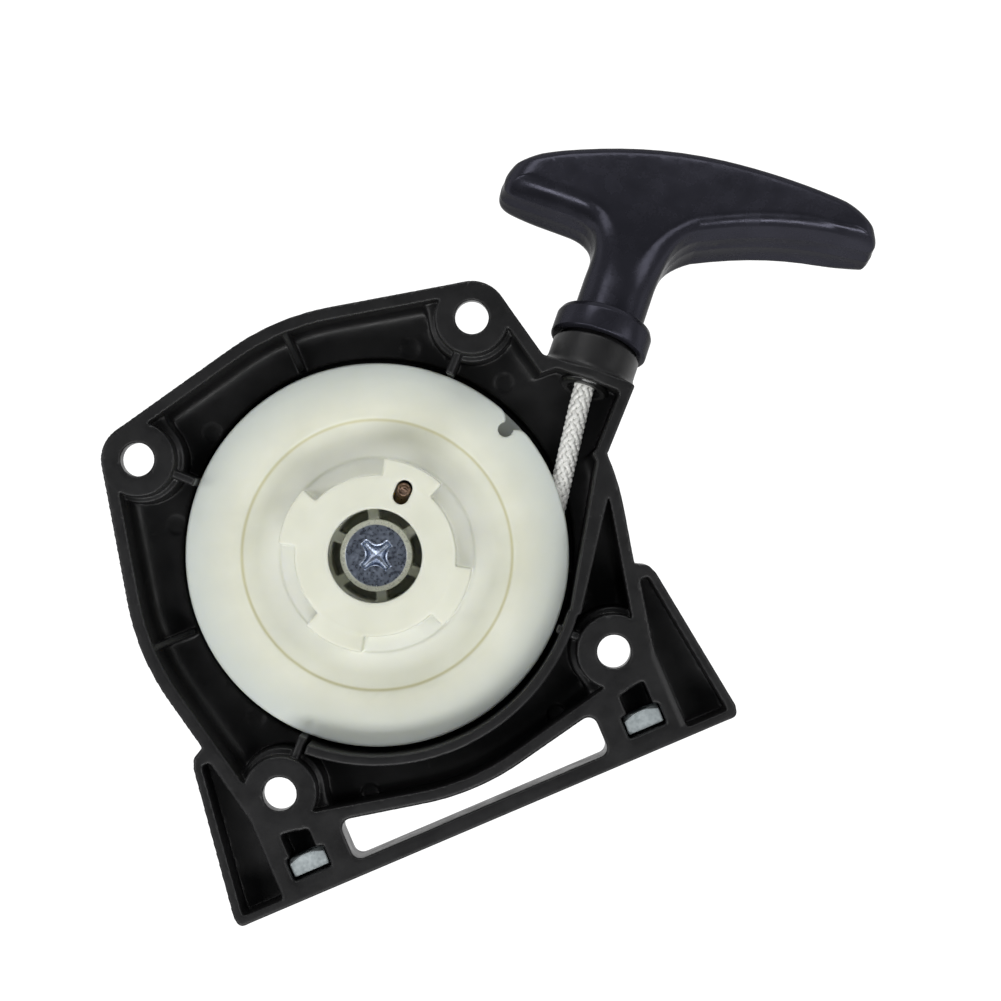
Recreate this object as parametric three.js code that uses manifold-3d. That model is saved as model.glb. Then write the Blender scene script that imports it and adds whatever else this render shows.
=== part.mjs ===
// Recoil starter for a small engine: moulded housing with foot, rope reel, flat spiral spring,
// rope, and a T grip that hangs from the guide boss.
// Millimetres. +Z points along the reel's axis to the engine, X runs along the foot, and +Y
// points away from the foot. The origin is the middle of the flat outer face.
import * as THREE from 'three';
import { mergeVertices } from 'three/addons/utils/BufferGeometryUtils.js';
import Module from 'manifold-3d';

const wasm = await Module();
wasm.setup();

// Housing
const DEPTH = 34;             // outer face to engine face
const HOLE_PITCH = 70;        // square of mounting holes
const HOLE_R = 3.25;
const EAR_R = 7;              // rounding of the housing round each mounting hole
const EAR_PLATE = 5;          // thickness left under a mounting screw's head
const SCREW_RECESS_R = 6.2;
const TOWER_R = 8.5;          // wall round each screw recess, inside the tray
const TOWER_TOP = 28.5;
const TOWER_SIDE_X = 27.3;       // flat side of each ear's tower, towards the middle
const DRUM_R = 48.7;          // round part of the outline
const WALL = 2.4;
const TRAY_BOTTOM = 17.4;
const TRAY_FLOOR = 20;
const WELL_R = 38.6;          // round well that the reel's lower flange turns in
const WELL_FLOOR = 17.5;
const STEP_R = 41.7;
const STEP_BOTTOM = 14.8;
const DOME_R = 35;            // spring chamber, outside
const CHAMBER_R = 32.6;
const BACK_THICK = 2.8;
const POST_R = 5.6;
const POST_TOP = 27;
const INSERT_HOLE_R = 4.25;
const RIB_TOP = 32.5;
const WALL_RIB_THICK = 1.4;

// Foot
const FOOT_BOTTOM_Z = 23;
const FOOT_Y = -55.7;
const POCKET_FLOOR_Z = 25;
const SLOT_HALF = 26.5;
const SLOT_Y = -52.6;
const NUT_X = 35;
const NUT_Y = -49.4;
const NUT_Z = 28.9;
const NUT_SIDE = 7;
const NUT_THICK = 3.2;
const BOLT_R = 2.25;

// Rope guide and grip, on an axis that leans towards the outer face
const GUIDE_AT = new THREE.Vector3(51, 15.5, 25);
const GUIDE_TURN = THREE.MathUtils.degToRad(48);
const GUIDE_TILT = THREE.MathUtils.degToRad(18);
const BOSS_R = 8.75;
const BOSS_SHOULDER = 5.8;     // the boss is full size up to here, then narrows into a neck
const BOSS_END = 9.2;
const NECK_R = 7.4;
const EYELET_BORE_R = 2.4;
const EYELET_BARREL_R = 3.3;
const STEM_R = 6.85;
const STEM_START = 9.6;
const COLLAR_R = 9.7;
const COLLAR_START = 7.2;
const GRIP_THICK = 17;
const GRIP_ROUND = 3.2;       // rounding of the grip's long edges
const KNOT_SEAT = 37.4;
const KNOT_HOLE_R = 5.3;

// Reel
const FLANGE_R = 37.4;
const REEL_BOTTOM = 19;
const GROOVE_BOTTOM = 21;
const GROOVE_TOP = 25.6;
const FLANGE_TOP = 28.3;
const CORE_R = 17.7;
const HUB_R = 15.5;
const HUB_BORE_R = 9;
const HUB_TOP = 37;
const DOG_R = 18.7;
const DOGS = 4;
const DOG_FIRST = 43;         // angle of the first driving dog, degrees
const DOG_SPAN = 37;
const SLEEVE_R = 6.9;
const SLEEVE_BORE_R = 5.95;
const WEBS = 6;
const WEB_FIRST = 12.5;
const SPRING_SLOT_ANGLE = 44;

// Rope and spring
const ROPE_R = 1.95;
const ROPE_Z = 23.3;
const COIL_R = 29.6;
const ROPE_LEAVE_R = 31.9;    // radius of the rope's centre line where it leaves the reel
const ROPE_LEAVE_ANGLE = -36.5;
const SPRING_BOTTOM = 4.2;
const SPRING_WIDTH = 10;
const SPRING_THICK = 0.6;
const SPRING_TURNS = 6;
const GAP = 0.3;              // clearance between pieces that rest on each other

// Facets round a circle
const FINE = 48;
const MEDIUM = 28;
const SMALL = 16;

const rad = THREE.MathUtils.degToRad;

// ---------- helpers ----------

function signedVolume(position, index) {
  const a = new THREE.Vector3();
  const b = new THREE.Vector3();
  const c = new THREE.Vector3();
  let total = 0;
  for (let i = 0; i < index.count; i += 3) {
    a.fromBufferAttribute(position, index.getX(i));
    b.fromBufferAttribute(position, index.getX(i + 1));
    c.fromBufferAttribute(position, index.getX(i + 2));
    total += a.dot(b.cross(c));
  }
  return total / 6;
}

// A closed three.js geometry as a solid, with its faces turned outwards.
function solid(geometry) {
  geometry.deleteAttribute('normal');
  geometry.deleteAttribute('uv');
  const merged = mergeVertices(geometry, 1e-4);
  const position = merged.getAttribute('position');
  const triVerts = Uint32Array.from(merged.index.array);
  if (signedVolume(position, merged.index) < 0) {
    triVerts.reverse();
  }
  const vertProperties = Float32Array.from(position.array);
  return new wasm.Manifold(new wasm.Mesh({ numProp: 3, vertProperties, triVerts }));
}

const joined = (...parts) => parts.reduce((sum, part) => sum.add(part));
const cut = (body, ...tools) => tools.reduce((left, tool) => left.subtract(tool), body);

function prism(shape, low, high, curveSegments = 12) {
  const geometry = new THREE.ExtrudeGeometry(shape, {
    depth: high - low, bevelEnabled: false, curveSegments,
  });
  return solid(geometry.translate(0, 0, low));
}

function polygon(points) {
  return new THREE.Shape(points.map(([x, y]) => new THREE.Vector2(x, y)));
}

function box(x0, x1, y0, y1, z0, z1) {
  const geometry = new THREE.BoxGeometry(x1 - x0, y1 - y0, z1 - z0);
  return solid(geometry.translate((x0 + x1) / 2, (y0 + y1) / 2, (z0 + z1) / 2));
}

// Turned piece about Z from [radius, z] points: either from axis to axis, or a closed ring.
function turned(points, segments = MEDIUM) {
  const closed = points[0][0] > 0 ? [...points, points[0]] : points;
  const profile = closed.map(([r, z]) => new THREE.Vector2(r, z));
  return solid(new THREE.LatheGeometry(profile, segments).rotateX(Math.PI / 2));
}

const disc = (r, low, high, segments) =>
  turned([[0, low], [r, low], [r, high], [0, high]], segments);

const at = (part, x, y) => part.translate([x, y, 0]);
const spun = (part, degrees) => part.rotate([0, 0, degrees]);

// The guide's own frame has +X along its axis, away from the reel, and +Y to the left.
const guideMatrix = new THREE.Matrix4().compose(
  GUIDE_AT,
  new THREE.Quaternion().setFromEuler(new THREE.Euler(0, GUIDE_TILT, GUIDE_TURN, 'ZYX')),
  new THREE.Vector3(1, 1, 1),
);

// A piece turned about the guide's axis, from [radius, distance along the axis] points.
function turnedOnGuide(points, segments = MEDIUM) {
  const closed = points[0][0] > 0 ? [...points, points[0]] : points;
  const profile = closed.map(([r, a]) => new THREE.Vector2(r, a));
  return new THREE.LatheGeometry(profile, segments).rotateZ(-Math.PI / 2);
}

const onGuide = (geometry) => solid(geometry.applyMatrix4(guideMatrix));

const guideRod = (r, from, to, segments) =>
  turnedOnGuide([[0, from], [r, from], [r, to], [0, to]], segments);

function tube(points, radius, steps, sides = 8) {
  const section = new THREE.Shape();
  for (let i = 0; i < sides; i += 1) {
    const angle = (2 * Math.PI * i) / sides;
    const corner = [radius * Math.cos(angle), radius * Math.sin(angle)];
    if (i === 0) {
      section.moveTo(...corner);
    } else {
      section.lineTo(...corner);
    }
  }
  const extrudePath = new THREE.CatmullRomCurve3(points);
  return new THREE.ExtrudeGeometry(section, { steps, extrudePath, bevelEnabled: false });
}

// ---------- housing ----------

const EARS = [[1, 1], [-1, 1], [-1, -1], [1, -1]].map(([sx, sy]) => [
  (sx * HOLE_PITCH) / 2, (sy * HOLE_PITCH) / 2,
]);

// Hull of the round drum and the four ears, drawn inset by the given amount.
function outline(inset) {
  const reach = Math.hypot(HOLE_PITCH / 2, HOLE_PITCH / 2);
  const half = Math.acos((DRUM_R - EAR_R) / reach);
  const shape = new THREE.Shape();
  EARS.forEach(([x, y]) => {
    const middle = Math.atan2(y, x);
    const before = middle - half;
    const after = middle + half;
    const gap = Math.PI / 4 - half;
    shape.absarc(0, 0, DRUM_R - inset, before - gap, before, false);
    shape.absarc(x, y, EAR_R - inset, before, after, false);
    shape.absarc(0, 0, DRUM_R - inset, after, after + gap, false);
  });
  return shape;
}

function mirrored(points) {
  return points.map(([x, y]) => [-x, y]).reverse();
}

const FOOT_SIDE = [
  [50.2, FOOT_Y], [51.6, -55], [52.3, -53.6], [48.2, -24.2], [47.2, -22.2], [45, -20.8],
];
const BULGE_OUTSIDE = [[44.6, 23.2], [57.6, 11.8], [58.6, 10.4], [49, 0.8], [44, 0], [40, 20]];
const BULGE_INSIDE = [[40, 20], [46.3, 19.5], [55.7, 10.7], [47.3, 2.2], [40, 0]];
const ROPE_WALL = [[30, -25], [46.9, 1], [48.6, 0.8], [46.4, -6.2], [31.7, -26]];
const WING_POCKET = [[42.3, -53.8], [50.3, -53.8], [46.4, -24.3], [45.2, -24.3], [42.3, -37.5]];
const NUT_POCKET = [[31.1, -51.6], [38.9, -51.6], [38.9, -47.2], [31.1, -47.2]];
const BOLT_POCKET = [[32.4, -47.4], [37.7, -47.4], [37.7, -42.3], [32.4, -43.4]];

function ringWall(inner, outer, fromDegrees, toDegrees, low, high) {
  const shape = new THREE.Shape();
  shape.absarc(0, 0, outer, rad(fromDegrees), rad(toDegrees), false);
  shape.absarc(0, 0, inner, rad(toDegrees), rad(fromDegrees), true);
  return prism(shape, low, high, Math.ceil(Math.abs(toDegrees - fromDegrees) / 7));
}

// A thin wall along +X, seen from the side as [x, z] points.
function sideWall(points, thick) {
  const geometry = new THREE.ExtrudeGeometry(polygon(points), {
    depth: thick, bevelEnabled: false,
  });
  return solid(geometry.translate(0, 0, -thick / 2).rotateX(Math.PI / 2));
}

// Round well for a mounting screw's head; the two far from the foot open to the side.
function screwRecess([x, y]) {
  const outwards = new THREE.Vector2(x, y).normalize().multiplyScalar(8);
  const across = new THREE.Vector2(-outwards.y, outwards.x).setLength(SCREW_RECESS_R);
  const channel = polygon([
    [x + across.x, y + across.y],
    [x - across.x, y - across.y],
    [x - across.x + outwards.x, y - across.y + outwards.y],
    [x + across.x + outwards.x, y + across.y + outwards.y],
  ]);
  const top = DEPTH - EAR_PLATE;
  const well = at(disc(SCREW_RECESS_R, 0, top), x, y);
  return y > 0 ? well.add(prism(channel, 0, top)) : well;
}

function housingShell() {
  const step = turned([
    [0, 0], [33.4, 0], [DOME_R, 1.6], [DOME_R, STEP_BOTTOM], [STEP_R - 1, STEP_BOTTOM],
    [STEP_R, STEP_BOTTOM + 1], [STEP_R, TRAY_BOTTOM + 1], [0, TRAY_BOTTOM + 1],
  ], FINE);
  const foot = polygon([...mirrored(FOOT_SIDE), ...FOOT_SIDE]);
  return joined(
    prism(outline(0), TRAY_BOTTOM, DEPTH, 5),
    step,
    prism(foot, FOOT_BOTTOM_Z, DEPTH),
    prism(polygon(BULGE_OUTSIDE), STEP_BOTTOM, DEPTH),
    onGuide(turnedOnGuide([
      [0, -2], [BOSS_R, -2], [BOSS_R, BOSS_SHOULDER], [NECK_R, BOSS_SHOULDER], [NECK_R, BOSS_END],
      [0, BOSS_END],
    ])),
  );
}

function housingHollows() {
  const over = DEPTH + 1;
  const slot = cut(
    box(-SLOT_HALF, SLOT_HALF, SLOT_Y, -40, 0, over),
    prism(outline(0), -1, over + 1, 5),
  );
  const rightSide = [WING_POCKET, NUT_POCKET, BOLT_POCKET];
  const pockets = [...rightSide, ...rightSide.map(mirrored)];
  return [
    prism(outline(WALL), TRAY_FLOOR, over, 5),
    prism(polygon(BULGE_INSIDE), TRAY_FLOOR, over),
    disc(WELL_R, WELL_FLOOR, over, FINE),
    disc(CHAMBER_R, BACK_THICK, over, FINE),
    slot,
    ...pockets.map((points) => prism(polygon(points), POCKET_FLOOR_Z, over)),
  ];
}

function boltHole(x) {
  const hole = disc(BOLT_R, 0, 12, SMALL).rotate([90, 0, 0]);
  return hole.translate([x, FOOT_Y + 9, NUT_Z]);
}

function makeHousing() {
  const hull = prism(outline(0), TRAY_BOTTOM, DEPTH, 5);
  const towers = EARS.map(([x, y]) => joined(
    at(disc(TOWER_R, TRAY_BOTTOM, TOWER_TOP), x, y),
    at(disc(EAR_R - 0.1, TRAY_BOTTOM, DEPTH), x, y),
    box(
      x > 0 ? TOWER_SIDE_X : -HOLE_PITCH / 2, x > 0 ? HOLE_PITCH / 2 : -TOWER_SIDE_X,
      y > 0 ? 33 : -44, y > 0 ? 44 : -33, TRAY_BOTTOM, TOWER_TOP,
    ),
  ).intersect(hull));
  const webs = EARS.map(([x, y]) => spun(
    box(37.6, 44, -0.7, 0.7, TRAY_FLOOR - 0.5, RIB_TOP),
    THREE.MathUtils.radToDeg(Math.atan2(y, x)),
  ));
  const rib = sideWall(
    [[38.8, TRAY_FLOOR - 0.5], [47.5, TRAY_FLOOR - 0.5], [47.5, 32], [46, 32], [39.4, 22]],
    WALL_RIB_THICK,
  );
  const gusset = sideWall([[DOME_R - 0.5, 3], [36.5, 3], [46.5, 17], [46.5, 18], [DOME_R - 0.5, 18]], 2);
  const wellWall = ringWall(WELL_R, WELL_R + 2, -133, -39, WELL_FLOOR, DEPTH);
  const post = disc(POST_R, BACK_THICK - 0.5, POST_TOP);
  let body = cut(housingShell(), ...housingHollows());
  body = joined(
    body, ...towers, ...webs, wellWall, post,
    prism(polygon(ROPE_WALL), TRAY_FLOOR - 0.5, DEPTH),
    spun(rib, 90), spun(rib, 180),
    ...[0, 60, 120, 180, 240, 300].map((angle) => spun(gusset, angle + 30)),
  );
  return cut(
    body,
    ...EARS.map(screwRecess),
    ...EARS.map(([x, y]) => at(disc(HOLE_R, 0, DEPTH + 1, 20), x, y)),
    disc(INSERT_HOLE_R, 12.2, DEPTH, 20),
    boltHole(NUT_X),
    boltHole(-NUT_X),
    onGuide(guideRod(EYELET_BARREL_R + GAP, -6, BOSS_END + 1, 20)),
    onGuide(guideRod(5.4, -6, -0.9, 20)),
  );
}

// ---------- reel and what holds it ----------

function dog(angle) {
  const half = DOG_SPAN / 2;
  return ringWall(HUB_R - 0.6, DOG_R, angle - half, angle + half, GROOVE_TOP + 0.4, HUB_TOP);
}

function makeReel() {
  const body = turned([
    [HUB_BORE_R, 4.6], [12.5, 4.6], [12.5, 17], [20, 17], [21, REEL_BOTTOM], [FLANGE_R, REEL_BOTTOM],
    [FLANGE_R, GROOVE_BOTTOM], [CORE_R, GROOVE_BOTTOM], [CORE_R, GROOVE_TOP], [FLANGE_R, GROOVE_TOP],
    [FLANGE_R, FLANGE_TOP], [26.4, FLANGE_TOP], [19.4, 26.9], [DOG_R, 26.6], [HUB_R, 26.4],
    [HUB_R, HUB_TOP], [HUB_BORE_R, HUB_TOP],
  ], FINE);
  const sleeve = turned([
    [SLEEVE_BORE_R, 16.5], [SLEEVE_R, 16.5], [SLEEVE_R, 26.7], [SLEEVE_BORE_R, 26.7],
  ]);
  const web = box(SLEEVE_R - 0.4, HUB_BORE_R + 0.5, -1.1, 1.1, 16.5, 26);
  const webFloor = turned([
    [SLEEVE_R - 0.4, 16.5], [HUB_BORE_R + 0.4, 16.5], [HUB_BORE_R + 0.4, 18], [SLEEVE_R - 0.4, 18],
  ], FINE);
  const dogs = Array.from({ length: DOGS }, (_, i) => dog(DOG_FIRST + (i * 360) / DOGS));
  const webs = Array.from({ length: WEBS }, (_, i) => spun(web, WEB_FIRST + (i * 360) / WEBS));
  const slot = joined(
    at(disc(1.6, 15, HUB_TOP + 1, SMALL), 12.5, 0),
    at(disc(1.6, 15, HUB_TOP + 1, SMALL), 14, 0),
    box(12.5, 14, -1.6, 1.6, 15, HUB_TOP + 1),
  );
  const release = joined(
    at(disc(1.4, GROOVE_BOTTOM + 1, FLANGE_TOP + 1, 12), 35, 0),
    box(35, 40, -1.1, 1.1, GROOVE_BOTTOM + 1, FLANGE_TOP + 1),
  );
  const knotPocket = at(disc(3.1, 15, 24.8, SMALL), 14.4, 0);
  const knotHole = solid(new THREE.CylinderGeometry(2.1, 2.1, 8, 12).rotateZ(Math.PI / 2)
    .translate(16, 0, ROPE_Z));
  return cut(
    joined(body, sleeve, webFloor, ...dogs, ...webs),
    spun(slot, SPRING_SLOT_ANGLE),
    spun(release, 21),
    spun(joined(knotPocket, knotHole), -70),
  );
}

function makeScrew() {
  const body = turned([
    [0, 13], [2.5, 13], [2.9, 13.5], [2.9, 28.6], [7, 28.6], [7, 31.6], [5.95, 32.4], [0, 32.4],
  ]);
  const arm = box(-3.5, 3.5, -0.95, 0.95, 30, 33);
  return cut(body, spun(joined(arm, spun(arm, 90)), 19));
}

// ---------- spring ----------

// Flat strip wound from the reel's pin outwards to the case, most of its turns near the case.
function makeSpring() {
  const perTurn = 18;
  const count = SPRING_TURNS * perTurn;
  const inner = 15.8;
  const outer = 30.5;
  const side = (offset) => Array.from({ length: count + 1 }, (_, i) => {
    const along = i / count;
    const radius = inner + (outer - inner) * Math.pow(along, 0.62) + offset;
    const angle = rad(SPRING_SLOT_ANGLE) + 2 * Math.PI * SPRING_TURNS * along;
    return [radius * Math.cos(angle), radius * Math.sin(angle)];
  });
  const strip = polygon([...side(SPRING_THICK / 2), ...side(-SPRING_THICK / 2).reverse()]);
  return prism(strip, SPRING_BOTTOM, SPRING_BOTTOM + SPRING_WIDTH);
}

const makeSpringCase = () => turned([
  [13.4, 3.1], [31.9, 3.1], [31.9, 15.6], [31.3, 15.6], [31.3, 3.7], [13.4, 3.7],
], FINE);

// ---------- rope ----------

const guidePoint = (a) => new THREE.Vector3(a, 0, 0).applyMatrix4(guideMatrix);

function ropeRun() {
  const leave = new THREE.Vector3(
    ROPE_LEAVE_R * Math.cos(rad(ROPE_LEAVE_ANGLE)),
    ROPE_LEAVE_R * Math.sin(rad(ROPE_LEAVE_ANGLE)),
    ROPE_Z,
  );
  const mouth = guidePoint(-2.4);
  // level between the flanges, then rising to the eyelet
  const between = (t) => leave.clone().lerp(mouth, t).setZ(ROPE_Z + (mouth.z - ROPE_Z) * t ** 4);
  const points = [0, 0.2, 0.4, 0.6, 0.8, 0.92].map(between);
  points.push(guidePoint(-0.8), guidePoint(1), guidePoint(3));
  return solid(tube(points, ROPE_R, 18));
}

// ---------- grip ----------

// Outline of the T grip in the guide's frame: the short arm is on the left, the long arm on the
// right, and both finger edges run out of the stem in an arc.
function gripOutline() {
  const shape = new THREE.Shape();
  shape.moveTo(22, 7);
  shape.quadraticCurveTo(29.8, 7, 30.4, 13);
  shape.lineTo(30.9, 25.4);
  shape.quadraticCurveTo(31.2, 28.4, 33.8, 28.2);
  shape.quadraticCurveTo(36.6, 27.9, 38.8, 23.4);
  shape.bezierCurveTo(44.4, 12.6, 48.9, 1.6, 50.6, -12);
  shape.bezierCurveTo(51.6, -21, 51.6, -30, 51, -37.6);
  shape.quadraticCurveTo(50.2, -42.8, 48.2, -45.4);
  shape.quadraticCurveTo(46.3, -47.9, 44.6, -45.6);
  shape.bezierCurveTo(43.4, -33, 40, -24, 33.6, -12.6);
  shape.quadraticCurveTo(30.4, -7.2, 22, -7);
  return shape;
}

// A plate of the given outline about z = 0, its rims rounded by rows of [height, inset].
function roundedPlate(outlinePoints, rows) {
  const count = outlinePoints.length;
  const outwards = outlinePoints.map((_, i) => {
    const before = outlinePoints[(i + count - 1) % count];
    const after = outlinePoints[(i + 1) % count];
    return new THREE.Vector2(after.y - before.y, before.x - after.x).normalize();
  });
  const rings = rows.map(([z, inset]) => outlinePoints.map((point, i) => {
    const moved = point.clone().addScaledVector(outwards[i], -inset);
    return new THREE.Vector3(moved.x, moved.y, z);
  }));
  const index = [];
  for (let ring = 0; ring + 1 < rings.length; ring += 1) {
    for (let i = 0; i < count; i += 1) {
      const a = ring * count + i;
      const b = ring * count + ((i + 1) % count);
      index.push(a, b, b + count, a, b + count, a + count);
    }
  }
  const top = (rings.length - 1) * count;
  THREE.ShapeUtils.triangulateShape(outlinePoints, []).forEach(([a, b, c]) => {
    index.push(a, c, b);
    index.push(top + a, top + b, top + c);
  });
  const geometry = new THREE.BufferGeometry().setFromPoints(rings.flat());
  geometry.setIndex(index);
  return geometry;
}

function makeGrip() {
  const points = gripOutline().getPoints(5);
  if (THREE.ShapeUtils.isClockWise(points)) {
    points.reverse();
  }
  const half = GRIP_THICK / 2;
  const blade = roundedPlate(points, [
    [-half, GRIP_ROUND * 0.5], [GRIP_ROUND - half, 0], [half - GRIP_ROUND, 0],
    [half, GRIP_ROUND * 0.5],
  ]);
  const stem = turnedOnGuide([
    [0, STEM_START], [STEM_R - 0.3, STEM_START], [STEM_R, STEM_START + 0.4], [STEM_R, 21], [7.6, 25],
    [8, 30], [0, 34],
  ]);
  return cut(
    joined(solid(blade), solid(stem)),
    solid(guideRod(2.2, 0, 45, 12)),
    solid(guideRod(KNOT_HOLE_R, KNOT_SEAT, 60, 20)),
  );
}

const makeCollar = () => solid(turnedOnGuide([
  [STEM_R + GAP + 0.05, 13.2], [STEM_R + GAP + 0.05, 9.9], [NECK_R + GAP + 0.05, 9.6],
  [NECK_R + GAP + 0.05, COLLAR_START], [COLLAR_R, COLLAR_START], [COLLAR_R, 11.4],
  [COLLAR_R - 0.5, 12.7], [COLLAR_R - 1.6, 13.2],
], 32));

const makeEyelet = () => solid(turnedOnGuide([
  [EYELET_BORE_R, -1.5], [EYELET_BORE_R + 0.7, -2.3], [4.6, -2.3], [5, -1.9], [5, -1.2],
  [EYELET_BARREL_R, -1.2], [EYELET_BARREL_R, 7], [EYELET_BORE_R, 7],
], 20));

const makeKnot = (a, r, length) => solid(
  new THREE.SphereGeometry(r, 12, 7).scale(length / (2 * r), 1, 1).translate(a, 0, 0),
);

const makeKnotWasher = () => solid(turnedOnGuide([
  [2.15, KNOT_SEAT + 0.3], [4.9, KNOT_SEAT + 0.3], [4.9, KNOT_SEAT + 1.1], [2.15, KNOT_SEAT + 1.1],
], 20));

const makeGripCap = () => solid(turnedOnGuide([
  [0, 46.3], [4.9, 46.3], [4.9, 47.1], [0, 47.1],
], 20));

// ---------- nuts ----------

function makeFootNut(x) {
  const half = NUT_SIDE / 2;
  const blank = box(-half, half, -half, half, -NUT_THICK / 2, NUT_THICK / 2);
  const dome = turned([
    [0, -2], [5.3, -2], [5.3, NUT_THICK / 2 - 1.2], [half, NUT_THICK / 2], [0, NUT_THICK / 2],
  ], 24);
  const nut = cut(blank.intersect(dome), disc(2, -3, 3, SMALL));
  return nut.rotate([-90, 0, 0]).translate([x, NUT_Y, NUT_Z]);
}

// ---------- materials and scene ----------

const material = (color, roughness, metalness) =>
  new THREE.MeshStandardMaterial({ color, roughness, metalness });

const blackNylon = material(0x17181a, 0.5, 0);
const eyeletBlack = material(0x1b1b1d, 0.25, 0);
const reelNylon = material(0xe9e8dc, 0.4, 0);
const zinc = material(0xb9c0cc, 0.3, 0.9);
const brass = material(0xb08d4f, 0.35, 0.9);
const springSteel = material(0x5b4636, 0.35, 0.9);
const pinSteel = material(0x6a4a38, 0.35, 0.9);
const caseSteel = material(0x8d9196, 0.4, 0.9);
const ropeWhite = material(0xe4e4e0, 0.8, 0);
const gripBlack = material(0x2b2b31, 0.45, 0);

function named(name, body, look) {
  const { vertProperties, triVerts } = body.getMesh();
  const geometry = new THREE.BufferGeometry();
  geometry.setAttribute('position', new THREE.BufferAttribute(vertProperties, 3));
  geometry.setIndex(new THREE.BufferAttribute(triVerts, 1));
  const mesh = new THREE.Mesh(geometry, look);
  mesh.name = name;
  return mesh;
}

const starter = new THREE.Group();
starter.add(
  named('housing', makeHousing(), blackNylon),
  named('foot_nut_right', makeFootNut(NUT_X), zinc),
  named('foot_nut_left', makeFootNut(-NUT_X), zinc),
  named('post_insert', turned([[3.2, 12.5], [3.95, 12.5], [3.95, 26.7], [3.2, 26.7]], SMALL), brass),
  named('reel', makeReel(), reelNylon),
  named('reel_washer', turned([[3.3, 27.3], [6.8, 27.3], [6.8, 28.3], [3.3, 28.3]], 24), zinc),
  named('reel_screw', makeScrew(), zinc),
  named('spring_case', makeSpringCase(), caseSteel),
  named('recoil_spring', makeSpring(), springSteel),
  named('rope_coil', turned([[17.9, 21.4], [COIL_R, 21.4], [COIL_R, 25.2], [17.9, 25.2]], FINE), ropeWhite),
  named('rope_run', ropeRun(), ropeWhite),
);

const springPin = at(turned([[0.7, 5], [1.15, 5], [1.15, 36.2], [0.7, 36.2]], 12), 13.9, 0);
const reelKnot = solid(new THREE.SphereGeometry(2.7, 12, 7).translate(14.4, 0, 21.8));
starter.add(
  named('spring_pin', spun(springPin, SPRING_SLOT_ANGLE), pinSteel),
  named('reel_knot', spun(reelKnot, -70), ropeWhite),
);

// The grip and all that comes out with the rope sit on the guide's leaning axis.
const guide = new THREE.Group();
guide.position.copy(GUIDE_AT);
guide.rotation.set(0, GUIDE_TILT, GUIDE_TURN, 'ZYX');
guide.add(
  named('rope_eyelet', makeEyelet(), eyeletBlack),
  named('rope_tail', solid(tube([3.6, 14, 26, 38.9].map((along) => new THREE.Vector3(along, 0, 0)),
    ROPE_R, 9)), ropeWhite),
  named('grip_knot', makeKnot(42.6, 4.2, 6.8), ropeWhite),
  named('knot_washer', makeKnotWasher(), zinc),
  named('grip', makeGrip(), gripBlack),
  named('grip_collar', makeCollar(), gripBlack),
  named('grip_cap', makeGripCap(), gripBlack),
);
starter.add(guide);

export default starter;
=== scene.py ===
# Recoil starter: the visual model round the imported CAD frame, its studio and its camera.
# Shapes are worked out in millimetres, as on a moulding drawing, and scaled to metres when
# they become meshes. The part frame is the CAD's: +Z along the reel's axis to the engine.
import math

import bpy
import numpy as np
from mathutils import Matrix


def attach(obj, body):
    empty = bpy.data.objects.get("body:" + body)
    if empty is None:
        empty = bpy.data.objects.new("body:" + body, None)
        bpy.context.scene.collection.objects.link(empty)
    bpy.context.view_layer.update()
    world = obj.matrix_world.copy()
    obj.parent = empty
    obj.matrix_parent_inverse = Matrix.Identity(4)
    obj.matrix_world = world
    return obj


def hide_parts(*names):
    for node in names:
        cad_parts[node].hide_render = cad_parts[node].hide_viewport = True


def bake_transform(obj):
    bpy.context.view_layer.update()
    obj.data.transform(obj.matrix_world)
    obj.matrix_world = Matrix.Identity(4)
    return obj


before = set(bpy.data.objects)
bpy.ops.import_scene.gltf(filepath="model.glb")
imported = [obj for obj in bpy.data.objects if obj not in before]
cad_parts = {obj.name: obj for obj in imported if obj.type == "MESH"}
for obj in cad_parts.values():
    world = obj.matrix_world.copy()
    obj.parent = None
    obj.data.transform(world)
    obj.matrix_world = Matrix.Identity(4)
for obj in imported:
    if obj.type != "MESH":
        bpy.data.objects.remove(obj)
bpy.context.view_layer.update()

import openvdb
from mathutils import Euler, Matrix, Vector

MM = 0.001

# Housing
DEPTH = 34.0
HOLE_PITCH = 70.0
HOLE_R = 3.25
EAR_R = 7.0
EAR_PLATE = 5.0
SCREW_RECESS_R = 6.2
CHANNEL = 9.0                 # how far the upper screw recesses run out through the wall
TOWER_R = 8.5
PAD_R = 7.2                   # flush pad round each mounting hole
TOWER_TOP = 28.5
TOWER_SIDE_X = 27.3
RIB_TOP = 32.5
DRUM_R = 48.7
WALL = 2.4
TRAY_BOTTOM = 17.4
TRAY_FLOOR = 20.0
TRAY_FILLET = 3.0             # between the tray's walls and its floor
WELL_R = 38.6
WELL_FLOOR = 17.5
STEP_R = 41.7
STEP_BOTTOM = 14.8
DOME_R = 35.0
CHAMBER_R = 32.6
BACK_THICK = 2.8
POST_R = 5.6
POST_TOP = 27.0
INSERT_HOLE_R = 4.25
FOOT_BOTTOM_Z = 23.0
FOOT_Y = -55.7
POCKET_FLOOR_Z = 25.0
SLOT_HALF = 26.6
SLOT_Y = -52.6
NUT = (35.05, -49.3, 28.9)
NUT_SIDE = 7.3
NUT_THICK = 3.5
BOLT_R = 2.25

# Guide and grip
GUIDE_AT = (51.0, 15.5, 25.0)
GUIDE_TURN = math.radians(48)
GUIDE_TILT = math.radians(18)
BOSS_R = 8.75
BOSS_SHOULDER = 6.4
BOSS_END = 9.2
NECK_R = 7.4
EYELET_BORE_R = 2.4
EYELET_BARREL_R = 3.3
STEM_R = 6.85
STEM_START = 9.6
COLLAR_R = 9.7
COLLAR_START = 7.2
GRIP_HALF = 8.5
KNOT_SEAT = 37.4
KNOT_HOLE_R = 5.3

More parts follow.
